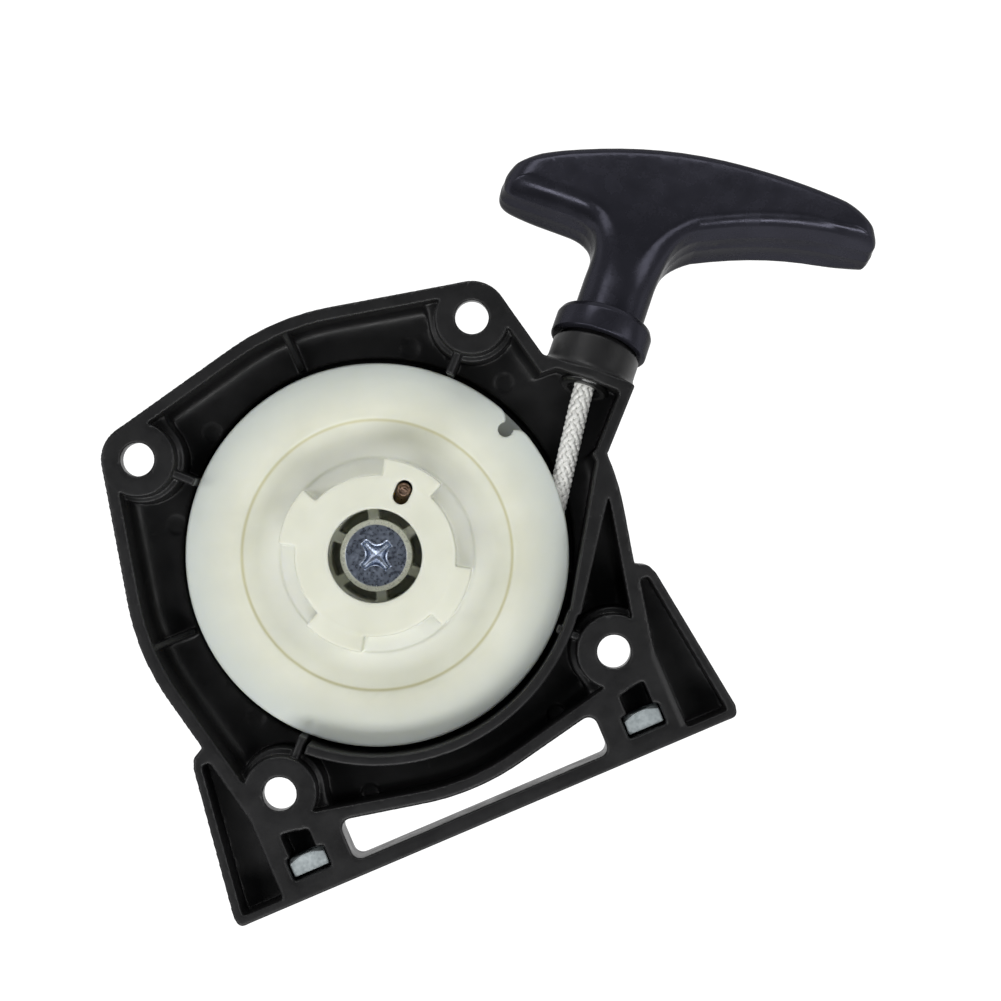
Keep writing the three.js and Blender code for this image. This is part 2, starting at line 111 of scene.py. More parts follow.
# Reel
FLANGE_R = 37.4
GROOVE_BOTTOM = 21.0
GROOVE_TOP = 25.6
FLANGE_TOP = 28.3
CORE_R = 17.7
HUB_R = 15.5
HUB_BORE_R = 9.0
HUB_TOP = 37.0
DOG_R = 18.7
LINE_R = 26.3                 # thin line turned in the upper flange
DOG_ANGLES = [(24, 61.5), (114.5, 150), (202, 239), (291, 329.5)]
SLEEVE_R = 6.9
SLEEVE_BORE_R = 5.95
WEB_ANGLES = [12.5 + 60 * k for k in range(6)]
SPRING_SLOT_ANGLE = 43.5
RELEASE_ANGLE = 21.3

# Rope
ROPE_R = 1.95
ROPE_Z = 23.3
COIL_R = 29.6
ROPE_LEAVE = (31.9, -36.5)      # radius and angle of the centre line where it leaves the reel
BRAID_PITCH = 17.5
BRAID_STRANDS = 8             # in each direction
PULL = 720.0                  # travel of the grip
STEM_ROPE = (3.6, 38.9)       # ends of the rope in the grip, along the guide
ANCHOR_ANGLE = -70            # where the rope is knotted to the reel

FAR = 5.0                     # distance stored where a field holds nothing


# ---------- outlines ----------

def polar(radius, degrees):
    """A point at a radius and an angle."""
    return radius * math.cos(math.radians(degrees)), radius * math.sin(math.radians(degrees))


def arc(centre, radius, first, last, steps):
    """Points along an arc, angles in degrees."""
    return [(centre[0] + x, centre[1] + y)
            for x, y in (polar(radius, a) for a in np.linspace(first, last, steps + 1))]


def mirrored(points):
    """An outline reflected in the Y axis, with its order turned back."""
    return [(-x, y) for x, y in reversed(points)]


def softened(points, radius, steps=6):
    """An outline whose corners are arcs, smaller where their sides are short."""
    rounded = []
    count = len(points)
    for i, (x, y) in enumerate(points):
        corner = Vector((x, y))
        back = Vector(points[i - 1]) - corner
        ahead = Vector(points[(i + 1) % count]) - corner
        half = back.angle(ahead, math.pi) / 2
        if half > math.radians(86):
            rounded.append((x, y))
            continue
        reach = min(radius / math.tan(half), 0.49 * back.length, 0.49 * ahead.length)
        start = corner + back.normalized() * reach
        end = corner + ahead.normalized() * reach
        small = reach * math.tan(half)
        middle = corner + (back.normalized() + ahead.normalized()).normalized() * (
            small / math.sin(half))
        first = start - middle
        turn = first.angle_signed(end - middle)
        for k in range(steps + 1):
            spoke = first.copy()
            spoke.rotate(Matrix.Rotation(-turn * k / steps, 2))
            rounded.append(tuple(middle + spoke))
    return rounded


def bezier(*controls, steps=10):
    """Points of a Bezier curve after its first, from three or four control points."""
    order = len(controls) - 1
    curve = []
    for k in range(1, steps + 1):
        t = k / steps
        weights = [math.comb(order, i) * t ** i * (1 - t) ** (order - i)
                   for i in range(order + 1)]
        curve.append(tuple(sum(w * p[axis] for w, p in zip(weights, controls))
                           for axis in (0, 1)))
    return curve


# ---------- distance fields ----------

def soft_min(a, b, soft):
    """The smaller of two distances, with a fillet about as large as soft between them."""
    reach = np.maximum(soft - np.abs(a - b), 0)
    return np.minimum(a, b) - reach * reach * (0.25 / soft)


def soft_max(a, b, soft):
    """The larger of two distances, with the edge between them rounded."""
    return -soft_min(-a, -b, soft)


def polygon_distance(points, x, y):
    """Distance to a closed outline, negative inside it."""
    x, y = np.broadcast_arrays(x, y)
    nearest = np.full(x.shape, 1e9, np.float32)
    inside = np.zeros(x.shape, bool)
    for (x0, y0), (x1, y1) in zip(points, list(points[1:]) + [points[0]]):
        ex, ey = x1 - x0, y1 - y0
        if ex == 0 and ey == 0:
            continue
        px, py = x - x0, y - y0
        along = np.clip((px * ex + py * ey) / (ex * ex + ey * ey), 0, 1)
        nearest = np.minimum(nearest, (px - along * ex) ** 2 + (py - along * ey) ** 2)
        if ey != 0:
            inside ^= ((y0 <= y) != (y1 <= y)) & (px < py * (ex / ey))
    return np.where(inside, -1, 1) * np.sqrt(nearest)


class Shape:
    """A box that holds a shape, and a function for the distance to it."""

    def __init__(self, low, high, distance):
        self.low, self.high, self.distance = np.array(low, float), np.array(high, float), distance

    def within(self, other):
        """What the two shapes share."""
        return Shape(np.maximum(self.low, other.low), np.minimum(self.high, other.high),
                     lambda x, y, z: np.maximum(self.distance(x, y, z), other.distance(x, y, z)))

    def placed(self, matrix):
        """The shape moved by a rigid 4x4 matrix."""
        corners = np.array([matrix @ Vector((x, y, z)) for x in (self.low[0], self.high[0])
                            for y in (self.low[1], self.high[1])
                            for z in (self.low[2], self.high[2])])
        back = np.array(matrix.inverted(), np.float32)

        def distance(x, y, z):
            return self.distance(*(back[i, 0] * x + back[i, 1] * y + back[i, 2] * z + back[i, 3]
                                   for i in range(3)))
        return Shape(corners.min(0), corners.max(0), distance)

    def spun(self, degrees):
        """The shape turned about Z."""
        return self.placed(Matrix.Rotation(math.radians(degrees), 4, "Z"))


def prism(points, low, high, edge=0.5, inset=0.0):
    """An outline drawn out along Z, its two rims rounded."""
    xs, ys = zip(*points)

    def distance(x, y, z):
        side = polygon_distance(points, x, y) + np.float32(inset)
        return soft_max(side, np.abs(z - (low + high) / 2) - (high - low) / 2, edge)
    return Shape((min(xs), min(ys), low), (max(xs), max(ys), high), distance)


def disc(radius, low, high, at=(0, 0), edge=0.4):
    """A short cylinder along Z."""
    def distance(x, y, z):
        side = np.hypot(x - at[0], y - at[1]) - radius
        return soft_max(side, np.abs(z - (low + high) / 2) - (high - low) / 2, edge)
    return Shape((at[0] - radius, at[1] - radius, low), (at[0] + radius, at[1] + radius, high),
                 distance)


def sector(inner, outer, first, last, low, high, edge=0.4):
    """Part of a ring, drawn out along Z."""
    steps = max(4, int(abs(last - first) / 3))
    points = arc((0, 0), outer, first, last, steps) + arc((0, 0), inner, last, first, steps)
    return prism(points, low, high, edge)


def turned(profile, step=0.08):
    """A shape turned about Z from a closed (radius, z) outline; a negative radius fills the axis."""
    radii, heights = zip(*profile)

    def distance(x, y, z):
        rows = np.arange(0, max(radii) + 14, step, dtype=np.float32)
        table = polygon_distance(profile, rows[:, None], z.reshape(1, -1)).astype(np.float32)
        place = np.hypot(x, y)[..., 0] / step
        row = np.minimum(place.astype(int), len(rows) - 2)
        part = np.minimum(place - row, 1)[..., None]
        return table[row] * (1 - part) + table[row + 1] * part
    reach = max(radii)
    return Shape((-reach, -reach, min(heights)), (reach, reach, max(heights)), distance)


class Field:
    """A body as distances on a regular grid, built up by adding and cutting shapes."""

    def __init__(self, low, high, step):
        self.low, self.step = np.array(low, float), step
        counts = np.ceil((np.array(high, float) - self.low) / step).astype(int) + 1
        self.axes = [(self.low[i] + step * np.arange(n)).astype(np.float32)
                     for i, n in enumerate(counts)]
        self.values = np.full(counts, FAR, np.float32)

    def window(self, shape, reach):
        """The part of the grid near a shape, and the shape's distances there."""
        reach += 3 * self.step
        spans = tuple(slice(*np.searchsorted(axis, (low - reach, high + reach)))
                      for axis, low, high in zip(self.axes, shape.low, shape.high))
        grid = np.meshgrid(*(axis[span] for axis, span in zip(self.axes, spans)),
                           indexing="ij", sparse=True)
        return spans, shape.distance(*grid)

    def add(self, shape, soft=0.4):
        """Joins a shape on, with a fillet."""
        spans, distance = self.window(shape, soft)
        self.values[spans] = soft_min(self.values[spans], distance, soft)

    def cut(self, shape, soft=0.4):
        """Takes a shape away, with a rounded edge."""
        spans, distance = self.window(shape, soft)
        self.values[spans] = soft_max(self.values[spans], -distance, soft)

    def mesh(self, name, adapt, matrix=Matrix.Identity(4)):
        """The body's surface as a smooth mesh object in metres."""
        grid = openvdb.FloatGrid(FAR)
        grid.copyFromArray(np.clip(self.values, -FAR, FAR))
        points, triangles, quads = grid.convertToPolygons(0.0, adapt)
        points = np.array(points) * self.step + self.low
        faces = [tuple(face) for face in quads.tolist()] + [tuple(f) for f in triangles.tolist()]
        return mesh_object(name, points, faces, matrix)


# ---------- meshes ----------

def mesh_object(name, points, faces, matrix=Matrix.Identity(4), smooth=True):
    """A mesh object in metres from points in millimetres, with its faces turned outwards."""
    mesh = bpy.data.meshes.new(name)
    mesh.from_pydata([tuple(p) for p in np.array(points).tolist()], [], faces)
    mesh.transform(Matrix.Scale(MM, 4) @ matrix)
    piece = bpy.data.objects.new(name, mesh)
    bpy.context.scene.collection.objects.link(piece)
    mesh.update()
    if signed_volume(mesh) < 0:
        mesh.flip_normals()
    mesh.polygons.foreach_set("use_smooth", [smooth] * len(mesh.polygons))
    return piece


def signed_volume(mesh):
    """Six times a mesh's volume, negative when its faces look inwards."""
    mesh.calc_loop_triangles()
    corners = np.empty(3 * len(mesh.loop_triangles), np.int32)
    mesh.loop_triangles.foreach_get("vertices", corners)
    points = np.empty(3 * len(mesh.vertices), np.float32)
    mesh.vertices.foreach_get("co", points)
    a, b, c = (points.reshape(-1, 3)[corners[i::3]].astype(float) for i in range(3))
    return float(np.einsum("ij,ij->i", a, np.cross(b, c)).sum())


def lathe(name, profile, matrix=Matrix.Identity(4), segments=128, corner=0.12):
    """A ring or solid turned about Z from a (radius, z) outline with softened corners."""
    solid = profile[0][0] == 0
    if solid:
        inner = softened([(-5, profile[0][1])] + profile[1:-1] + [(-5, profile[-1][1])], corner, 4)
        outline = [(0, profile[0][1])] + [p for p in inner if p[0] > 0] + [(0, profile[-1][1])]
    else:
        outline = softened(profile, corner, 4)
    points, rings = [], []
    for radius, height in outline:
        if radius == 0:
            rings.append([len(points)] * segments)
            points.append((0, 0, height))
        else:
            rings.append(list(range(len(points), len(points) + segments)))
            points += [(*polar(radius, 360 * k / segments), height) for k in range(segments)]
    if not solid:
        rings.append(rings[0])
    faces = []
    for low, high in zip(rings, rings[1:]):
        for k in range(segments):
            following = (k + 1) % segments
            face = [low[k], low[following], high[following], high[k]]
            faces.append(tuple(dict.fromkeys(face)))
    return mesh_object(name, points, faces, matrix)


def tube_rings(path, radius, sides):
    """Rings of points round a path, with no twist, and the path's length at each ring."""
    path = [Vector(p) for p in path]
    ahead = [(path[min(i + 1, len(path) - 1)] - path[max(i - 1, 0)]).normalized()
             for i in range(len(path))]
    side = ahead[0].orthogonal().normalized()
    rings, lengths = [], [0.0]
    for i, point in enumerate(path):
        if i:
            side = (ahead[i - 1].rotation_difference(ahead[i])) @ side
            lengths.append(lengths[-1] + (point - path[i - 1]).length)
        other = ahead[i].cross(side)
        rings.append([point + radius * (math.cos(a) * side + math.sin(a) * other)
                      for a in (2 * math.pi * k / sides for k in range(sides))])
    return rings, lengths


def tube(name, path, radius, sides=16, matrix=Matrix.Identity(4), along=None):
    """A closed tube whose UV map holds the turn round it and the length along it, in metres."""
    rings, lengths = tube_rings(path, radius, sides)
    lengths = along or lengths
    count = len(rings)
    faces = [(i * sides + k, i * sides + (k + 1) % sides,
              (i + 1) * sides + (k + 1) % sides, (i + 1) * sides + k)
             for i in range(count - 1) for k in range(sides)]
    faces += [tuple(range(sides)), tuple(reversed(range((count - 1) * sides, count * sides)))]
    piece = mesh_object(name, [p for ring in rings for p in ring], faces, matrix)
    layer = piece.data.uv_layers.new(name="UVMap")
    for polygon in piece.data.polygons:
        turns = [piece.data.loops[k].vertex_index % sides / sides for k in polygon.loop_indices]
        wraps = max(turns) - min(turns) > 0.5
        for loop, turn in zip(polygon.loop_indices, turns):
            ring = piece.data.loops[loop].vertex_index // sides
            turn += 1 if wraps and turn < 0.5 else 0
            layer.data[loop].uv = (turn, lengths[ring] * MM)
    return piece


def smooth_path(points, spacing):
    """Evenly spaced points on a smooth curve through the given ones."""
    points = [Vector(p) for p in points]
    padded = [2 * points[0] - points[1]] + points + [2 * points[-1] - points[-2]]
    fine = []
    for a, b, c, d in zip(padded, padded[1:], padded[2:], padded[3:]):
        for k in range(40):
            t = k / 40
            fine.append(0.5 * (2 * b + (c - a) * t + (2 * a - 5 * b + 4 * c - d) * t * t
                               + (3 * b - a - 3 * c + d) * t ** 3))
    fine.append(points[-1])
    fine = np.array(fine)
    length = np.concatenate([[0], np.cumsum(np.linalg.norm(np.diff(fine, axis=0), axis=1))])
    wanted = np.linspace(0, length[-1], max(3, int(length[-1] / spacing)))
    return [Vector(p) for p in np.stack([np.interp(wanted, length, fine[:, i])
                                         for i in range(3)], 1)]


def braided(name, path, radius):
    """Rope of interlaced strands over a core, along a path of close points."""
    count = len(path)
    frames, lengths = tube_rings(path, 1.0, 4)
    points, faces = [], []
    sides = 8

    def strand(centres, outwards, half_width, half_thick):
        first = len(points)
        for i, centre in enumerate(centres):
            ahead = (centres[min(i + 1, count - 1)] - centres[max(i - 1, 0)]).normalized()
            across = ahead.cross(outwards[i]).normalized()
            for k in range(sides):
                a = 2 * math.pi * k / sides
                points.append(centre + across * half_width * math.cos(a)
                              + outwards[i] * half_thick * math.sin(a))
        for i in range(count - 1):
            for k in range(sides):
                row, following = first + i * sides, (k + 1) % sides
                faces.append((row + k, row + following, row + sides + following, row + sides + k))
        faces.append(tuple(range(first, first + sides)))
        faces.append(tuple(reversed(range(first + (count - 1) * sides, first + count * sides))))

    axes = [((frames[i][0] - path[i]), (frames[i][1] - path[i])) for i in range(count)]
    for way in (1, -1):
        for number in range(BRAID_STRANDS):
            outwards, centres = [], []
            for i in range(count):
                turn = 2 * math.pi * (way * lengths[i] / BRAID_PITCH + number / BRAID_STRANDS)
                out = math.cos(turn) * axes[i][0] + math.sin(turn) * axes[i][1]
                wave = way * 0.17 * math.cos(2 * math.pi * BRAID_STRANDS * lengths[i] / BRAID_PITCH)
                outwards.append(out)
                centres.append(path[i] + out * (radius - 0.38 + wave))
            strand(centres, outwards, 0.47, 0.36)
    strand(list(path), [a for a, _ in axes], 0.85, 0.85)
    return mesh_object(name, points, faces)


guide = Matrix.Translation(GUIDE_AT) @ Euler((0, GUIDE_TILT, GUIDE_TURN)).to_matrix().to_4x4()
guide_z = guide @ Matrix.Rotation(math.pi / 2, 4, "Y")   # Z along the guide's axis


def guide_rod(radius, first, last, edge=0.4):
    """A cylinder on the guide's axis, by distances along it."""
    return disc(radius, first, last, edge=edge).placed(guide_z)


# ---------- housing ----------

EARS = [(sx * HOLE_PITCH / 2, sy * HOLE_PITCH / 2) for sx, sy in ((1, 1), (-1, 1), (-1, -1), (1, -1))]


def hull_outline():
    """The drum and the four ears, wrapped together."""
    reach = math.hypot(HOLE_PITCH / 2, HOLE_PITCH / 2)
    half = math.degrees(math.acos((DRUM_R - EAR_R) / reach))
    points = []
    for x, y in EARS:
        middle = math.degrees(math.atan2(y, x))
        points += arc((0, 0), DRUM_R, middle - 45, middle - half, 5)
        points += arc((x, y), EAR_R, middle - half, middle + half, 12)
        points += arc((0, 0), DRUM_R, middle + half, middle + 45, 5)[:-1]
    return points


def along_x(points, thick, edge=0.3):
    """A thin upright wall along +X, seen from the side as (x, z) points."""
    return prism(points, -thick / 2, thick / 2, edge).placed(Matrix.Rotation(math.pi / 2, 4, "X"))


def slot_outline(hull):
    """The long slot between the drum and the foot; its upper side follows the drum."""
    upper = sorted((p for p in hull if p[1] < 0 and abs(p[0]) < SLOT_HALF - 1), reverse=True)
    end_y = -HOLE_PITCH / 2 - EAR_R - 2.2
    return softened([(-SLOT_HALF, SLOT_Y), (SLOT_HALF, SLOT_Y), (SLOT_HALF, end_y), *upper,
                     (-SLOT_HALF, end_y)], 1.8)


FOOT_SIDE = [(52.0, FOOT_Y), (52.5, -53.6), (48.4, -24.2), (47.6, -22.2), (45, -20.8)]
BULGE_OUTSIDE = [(44.4, 23.4), (57.6, 12.2), (58.8, 10.6), (49, 0.8), (44, 0), (40, 20)]
BULGE_INSIDE = [(40, 20), (46.3, 19.5), (55.7, 10.7), (47.3, 2.2), (40, 0)]
ROPE_WALL = [(30, -25), (46.9, 1), (48.6, 0.8), (46.4, -6.2), (31.9, -26)]
WING_POCKET = [(42.3, -53.9), (50.7, -53.9), (46.7, -24.2), (45.1, -24.2), (42.3, -37.5)]
NUT_POCKET = [(31.1, -51.7), (39.0, -51.7), (39.0, -47.1), (31.1, -47.1)]
BOLT_POCKET = [(32.5, -47.6), (38.0, -47.6), (38.0, -42.2), (32.5, -43.3)]
EJECTOR_MARKS = [(21.5, 35), (-21, 35), (-34.5, 21), (36, 21.5), (-35, -20), (20, -42.9),
                 (-20, -42.9)]


def housing():
    """The moulded housing, with its foot, guide boss and spring chamber."""
    over = DEPTH + 2
    crisp = 0.12
    hull = hull_outline()
    shell = prism(hull, TRAY_BOTTOM, DEPTH, crisp)
    body = Field((-54, -57, -1), (64, 50.5, 35), 0.3)
    body.add(shell)
    body.add(turned(softened([
        (-9, 0), (33.2, 0), (DOME_R, 1.8), (DOME_R, STEP_BOTTOM), (STEP_R - 1, STEP_BOTTOM),
        (STEP_R, STEP_BOTTOM + 1), (STEP_R, TRAY_BOTTOM + 1), (-9, TRAY_BOTTOM + 1)], 0.9)), 1.2)
    foot = softened(mirrored(FOOT_SIDE) + FOOT_SIDE, 1.6)
    body.add(prism(foot, FOOT_BOTTOM_Z, DEPTH, crisp), crisp)
    body.add(prism(softened(BULGE_OUTSIDE, 0.5), STEP_BOTTOM, DEPTH, crisp), crisp)
    body.add(guide_rod(BOSS_R, -2, BOSS_SHOULDER, 0.3), 1.2)
    body.add(guide_rod(NECK_R, 0, BOSS_END, 0.3), 0.2)

    body.cut(prism(hull, TRAY_FLOOR, over, TRAY_FILLET, WALL), crisp)
    body.cut(prism(softened(BULGE_INSIDE, 0.7), TRAY_FLOOR, over, 0.3), crisp)
    body.cut(disc(WELL_R, WELL_FLOOR, over, edge=0.8), 0.3)
    body.cut(disc(CHAMBER_R, BACK_THICK, over, edge=1.5), 0.8)
    body.cut(prism(slot_outline(hull), 0, over, 0.5), 0.6)
    for points in (WING_POCKET, NUT_POCKET, BOLT_POCKET):
        for side in (points, mirrored(points)):
            body.cut(prism(softened(side, 0.6), POCKET_FLOOR_Z, over, 0.3), crisp)

    for x, y in EARS:
        middle = math.degrees(math.atan2(y, x))
        across, up = math.copysign(1, x), math.copysign(1, y)
        flat = [(px * across, py * up) for px, py in (
            (TOWER_SIDE_X, 33), (abs(x), 33), (abs(x), 44), (TOWER_SIDE_X, 44))]
        body.add(disc(TOWER_R, TRAY_BOTTOM, TOWER_TOP, (x, y), 0.6).within(shell), 0.2)
        body.add(prism(softened(flat, 0.8), TRAY_BOTTOM, TOWER_TOP, 0.9).within(shell), 0.6)
        body.add(disc(PAD_R, TRAY_BOTTOM, DEPTH, (x, y), crisp).within(shell), crisp)
        rib = prism([(37.8, -0.8), (44, -0.8), (44, 0.8), (37.8, 0.8)], TRAY_FLOOR - 0.5,
                    RIB_TOP, 0.5)
        body.add(rib.spun(middle), 0.3)
    body.add(sector(WELL_R, WELL_R + 2, -133, -39, WELL_FLOOR, DEPTH, 0.3), 0.2)
    body.add(prism(softened(ROPE_WALL, 0.6), TRAY_FLOOR - 0.5, DEPTH, 0.2), crisp)
    body.add(disc(POST_R, BACK_THICK - 0.5, POST_TOP, edge=0.8), 1.5)
    wall_rib = along_x([(38.8, TRAY_FLOOR - 0.5), (47.5, TRAY_FLOOR - 0.5), (47.5, 32.2),
                        (46.2, 32.2), (39.2, 22)], 1.2, 0.2)
    for angle in (89.5, 179.6):
        body.add(wall_rib.spun(angle), 0.4)
    gusset = along_x([(DOME_R - 0.5, 3), (36.5, 3), (46.5, 17), (46.5, 18), (DOME_R - 0.5, 18)],
                     2, 0.4)
    for angle in range(30, 390, 60):
        body.add(gusset.spun(angle), 0.8)

    for x, y in EARS:
        body.cut(disc(SCREW_RECESS_R, -2, DEPTH - EAR_PLATE, (x, y), 0.6), 0.3)
        if y > 0:
            out = Vector((x, y)).normalized() * CHANNEL
            wide = Vector((-out.y, out.x)).normalized() * SCREW_RECESS_R
            corners = [(x + wide.x, y + wide.y), (x - wide.x, y - wide.y),
                       (x - wide.x + out.x, y - wide.y + out.y),
                       (x + wide.x + out.x, y + wide.y + out.y)]
            body.cut(prism(corners, -2, DEPTH - EAR_PLATE, 0.6), 0.3)
        body.cut(disc(HOLE_R, 10, over, (x, y), 0.2), 0.2)
    for x, y in EJECTOR_MARKS:
        body.cut(disc(1.9, TRAY_FLOOR - 0.18, TRAY_FLOOR + 2, (x, y), 0.15), 0.15)
    body.cut(disc(INSERT_HOLE_R, 12.2, DEPTH, edge=0.2), 0.3)
    for x in (NUT[0], -NUT[0]):
        hole = disc(BOLT_R, -6, 9, edge=0.2)
        body.cut(hole.placed(Matrix.Translation((x, FOOT_Y + 3, NUT[2]))
                             @ Matrix.Rotation(math.pi / 2, 4, "X")), 0.4)
    body.cut(guide_rod(EYELET_BARREL_R + 0.3, -6, BOSS_END + 2, 0.2), 0.4)
    body.cut(guide_rod(5.4, -7, -0.9, 0.2), 0.3)
    # moulding marks on the outer face
    body.cut(turned(softened([(24, -2), (25.6, -2), (25.6, 0.6), (24, 0.6)], 0.3)), 0.4)
    body.cut(disc(6.5, -2, 0.7, edge=0.4), 0.4)
    return body.mesh("housing_shell", 0.01)


# ---------- reel ----------

def reel():
    """The rope reel, with its driving dogs and the sleeve that turns on the post."""
    body = Field((-39, -39, 3.5), (39, 39, 38.5), 0.3)
    body.add(turned(softened([
        (HUB_BORE_R, 4.6), (12.5, 4.6), (12.5, 17), (20, 17), (21, 19), (FLANGE_R, 19),
        (FLANGE_R, GROOVE_BOTTOM), (CORE_R, GROOVE_BOTTOM), (CORE_R, GROOVE_TOP),
        (FLANGE_R, GROOVE_TOP + 0.3), (FLANGE_R, FLANGE_TOP - 0.9), (34.5, FLANGE_TOP - 0.35),
        (30, FLANGE_TOP - 0.05), (28.6, FLANGE_TOP), (26.7, FLANGE_TOP), (26.2, FLANGE_TOP - 0.5),
        (22.5, FLANGE_TOP - 1.15), (19.2, 27.0), (18.9, 26.55), (HUB_R, 26.5),
        (HUB_R, HUB_TOP), (HUB_BORE_R, HUB_TOP)], 0.4, 4)))
    for first, last in DOG_ANGLES:
        body.add(sector(HUB_R - 0.8, DOG_R, first, last, GROOVE_TOP + 0.4, HUB_TOP, 0.3), 0.3)
    body.add(turned(softened([(SLEEVE_BORE_R, 16.5), (SLEEVE_R, 16.5), (SLEEVE_R, 26.7),
                              (SLEEVE_BORE_R, 26.7)], 0.2)))
    body.add(turned([(SLEEVE_R - 0.4, 16.5), (HUB_BORE_R + 0.4, 16.5), (HUB_BORE_R + 0.4, 18),
                     (SLEEVE_R - 0.4, 18)]))
    for angle in WEB_ANGLES:
        web = [(SLEEVE_R - 0.4, -1.05), (HUB_BORE_R + 0.5, -1.05), (HUB_BORE_R + 0.5, 1.05),
               (SLEEVE_R - 0.4, 1.05)]
        body.add(prism(web, 17, 26.2, 0.3).spun(angle))
    # below its lip the bore is wider, so the hub's mouth reads as a clean ring
    body.cut(turned([(SLEEVE_R + 0.3, 26.3), (HUB_BORE_R + 0.9, 26.3),
                     (HUB_BORE_R + 0.9, HUB_TOP - 0.9), (SLEEVE_R + 0.3, HUB_TOP - 0.9)]), 0.2)
    slot = arc((12.4, 0), 1.55, 90, 270, 10) + arc((14.1, 0), 1.6, -90, 90, 10)
    body.cut(prism(slot, 15, HUB_TOP + 2, 0.2).spun(SPRING_SLOT_ANGLE), 0.3)
    mouth = [(36.0, 1.15), (36.5, 1.5), (37.0, 2.2), (37.6, 3.6), (39, 4.5)]
    notch = arc((34.95, 0), 1.45, 50, 310, 16) + [(x, -y) for x, y in mouth] + mouth[::-1]
    body.cut(prism(notch, GROOVE_BOTTOM + 1, FLANGE_TOP + 2, 0.2).spun(RELEASE_ANGLE), 0.4)
    body.cut(disc(3.1, 15, 24.8, (14.4, 0)).spun(ANCHOR_ANGLE), 0.3)
    knot_hole = disc(2.1, 12, 20).placed(Matrix.Translation((0, 0, ROPE_Z))
                                         @ Matrix.Rotation(math.pi / 2, 4, "Y"))
    body.cut(knot_hole.spun(ANCHOR_ANGLE), 0.4)
    return body.mesh("reel_body", 0.005)


# ---------- grip ----------

def grip_outline():
    """The T grip seen square on: short arm on the left, long arm on the right."""
    points = [(2, -7.15), (2, 6.85), (23, 6.85)]
    for curve in (
        [(23, 6.85), (29.4, 7), (29.7, 12.5)],
        [(29.7, 12.5), (29.9, 19), (29.8, 25)],
        [(29.8, 25), (29.9, 29.2), (33.4, 28.8)], [(33.4, 28.8), (36.8, 28.3), (40.1, 22.9)],
        [(40.1, 22.9), (45.4, 12.2), (49.7, 1.6), (51.3, -12)],
        [(51.3, -12), (52.3, -21), (52.3, -30), (51.6, -37.6)],
        [(51.6, -37.6), (50.6, -43), (47.8, -45.6)], [(47.8, -45.6), (45.7, -47.9), (43.4, -46.2)],
        [(43.4, -46.2), (42.3, -33), (39.5, -24), (33.5, -12.6)],
        [(33.5, -12.6), (29.6, -7.15), (20, -7.15)],
    ):
        points += bezier(*curve, steps=9)
    return points


# along the palm edge the grip is not dished
PALM = [(60, 40), (36, 30), (38, 22), (42.5, 11), (46.5, 0), (48.5, -12), (49, -30), (48.5, -48),
        (60, -52)]


def grip():
    """The pull grip: a round stem that flattens out into a blade with rounded edges."""
    outline = grip_outline()
    body = Field((7, -49.5, -10), (54, 30, 10), 0.25)

    def blade(x, y, z):
        side = polygon_distance(outline, x, y)
        rise = np.clip((x - 19) / 15, 0, 1)
        rise = rise * rise * (3 - 2 * rise)
        # the finger side is dished along its middle height and leans back above it
        lean = 0.6 * np.clip(1 - ((z + 2) / 5) ** 2, 0, 1) + 0.24 * np.maximum(z + 1, 0)
        side = side + rise * lean * np.clip(polygon_distance(PALM, x, y) / 4, 0, 1)
        half = STEM_R + (GRIP_HALF - STEM_R) * rise
        # the edges are rounder at the two tips
        tip = np.clip((y - 18) / 10, 0, 1) + np.clip((-36 - y) / 10, 0, 1)
        rounding = STEM_R + (2.3 - STEM_R) * rise + 2.6 * tip * tip
        crown = 0.0012 * (x - 42) ** 2 + 0.0002 * (y + 10) ** 2
        out = side + rounding
        up = np.abs(z) - half + rounding + crown * rise
        corner = np.hypot(np.maximum(out, 0), np.maximum(up, 0))
        return corner + np.minimum(np.maximum(out, up), 0) - rounding

    along = Matrix.Rotation(math.pi / 2, 4, "Y")
    body.add(Shape((2, -49, -GRIP_HALF), (53, 29, GRIP_HALF), blade), 0.2)
    body.cut(disc(9, 0, STEM_START, edge=0.3).placed(along), 0.8)
    for radius, first, last in ((2.2, 0, 45), (KNOT_HOLE_R, KNOT_SEAT, 60)):
        body.cut(disc(radius, first, last, edge=0.2).placed(along), 0.4)
    return body.mesh("grip_body", 0.004, guide)


# ---------- small parts ----------

def screw():
    """The pan screw that holds the reel, with its cross recess."""
    body = Field((-8, -8, 12), (8, 8, 33.5), 0.12)
    head = 32.4
    body.add(turned(softened([(-9, 13), (2.5, 13), (2.9, 13.6), (2.9, 28.6), (7, 28.6), (7, 31.9),
                              (5.95, head), (-9, head)], 0.2)), 0.2)

    def recess(x, y, z):
        # four arms with wide roots, and a floor that rises from the middle to their tips
        one, other = (np.maximum(np.abs(u) - 3.4, np.abs(v) - 0.62) for u, v in ((x, y), (y, x)))
        walls = soft_min(one, other, 2.6)
        floor = head - 2.3 + 0.5 * np.hypot(x, y) - z
        return soft_max(walls - 0.12 * (z - head), floor, 0.5)
    body.cut(Shape((-3.6, -3.6, 29.5), (3.6, 3.6, head + 1), recess).spun(19), 0.3)
    return body.mesh("screw_body", 0.002)


